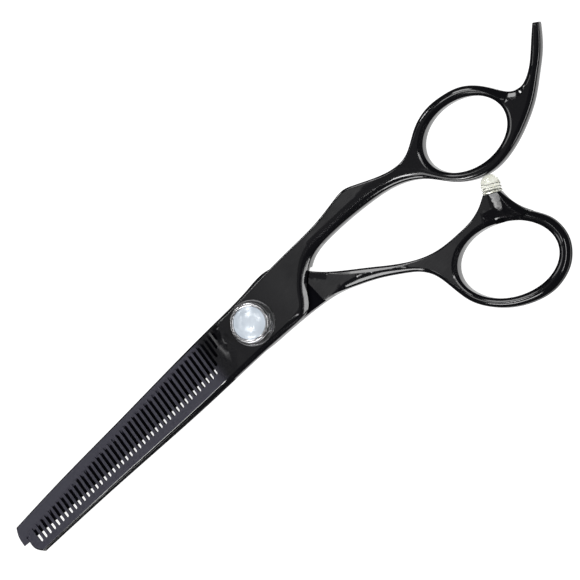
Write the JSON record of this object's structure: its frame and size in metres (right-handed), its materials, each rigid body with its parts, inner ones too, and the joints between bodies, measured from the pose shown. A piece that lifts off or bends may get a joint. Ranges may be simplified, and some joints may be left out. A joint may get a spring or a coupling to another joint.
{
  "type": "thinning shears",
  "caption": "Hairdresser's thinning shears: comb blade and plain blade on a pivot with a pearl tension dial, offset handles, finger rest and clear bumper.",
  "frame": {"origin": "on the pivot axis, at the back face of the pivot bolt's head", "axes": "+X from the pivot to the finger ring and tang, with the blades along -X; +Y to the finger-ring side; +Z along the pivot axis towards the tension dial"},
  "size_m": [0.1695, 0.0505, 0.0093],
  "materials": {
    "black_steel": "glossy black vacuum coating on polished steel",
    "bright_steel": "polished",
    "spring_steel": "as rolled",
    "brass": "turned",
    "slip_plastic": "smooth, matt",
    "pearl": "pearlescent, glossy",
    "clear_bumper": "clear, glossy"
  },
  "bodies": {
    "finger_side": {"finger_lever": "black_steel", "pivot_bushing": "brass", "base_disc": "bright_steel", "wave_spring": "spring_steel"},
    "thumb_side": {"thumb_lever": "black_steel", "pivot_bolt": "bright_steel", "blade_washer": "slip_plastic", "bumper": "clear_bumper"},
    "spring_stack": {"thrust_washer": "spring_steel"},
    "dial": {"tension_dial": "bright_steel", "dial_insert": "brass", "lock_ring": "slip_plastic", "dial_bezel": "bright_steel", "pearl": "pearl"}
  },
  "joints": [
    {"name": "lever_pivot", "type": "hinge", "parent": "finger_side", "child": "thumb_side", "pos_m": [0, 0, 0.003], "axis": [0, 0, -1], "range_deg": [0, 90]},
    {"name": "dial_travel", "type": "slide", "parent": "thumb_side", "child": "spring_stack", "axis": [0, 0, 1], "range_m": [-0.000125, 0.000125], "deforming": ["wave_spring"]},
    {"name": "dial_turn", "type": "hinge", "parent": "spring_stack", "child": "dial", "pos_m": [0, 0, 0.007], "axis": [0, 0, 1], "range_deg": [-90, 90]}
  ],
  "couplings": [
    {"joint": "dial_turn", "follows": "dial_travel", "rad_per_m": 12566}
  ]
}
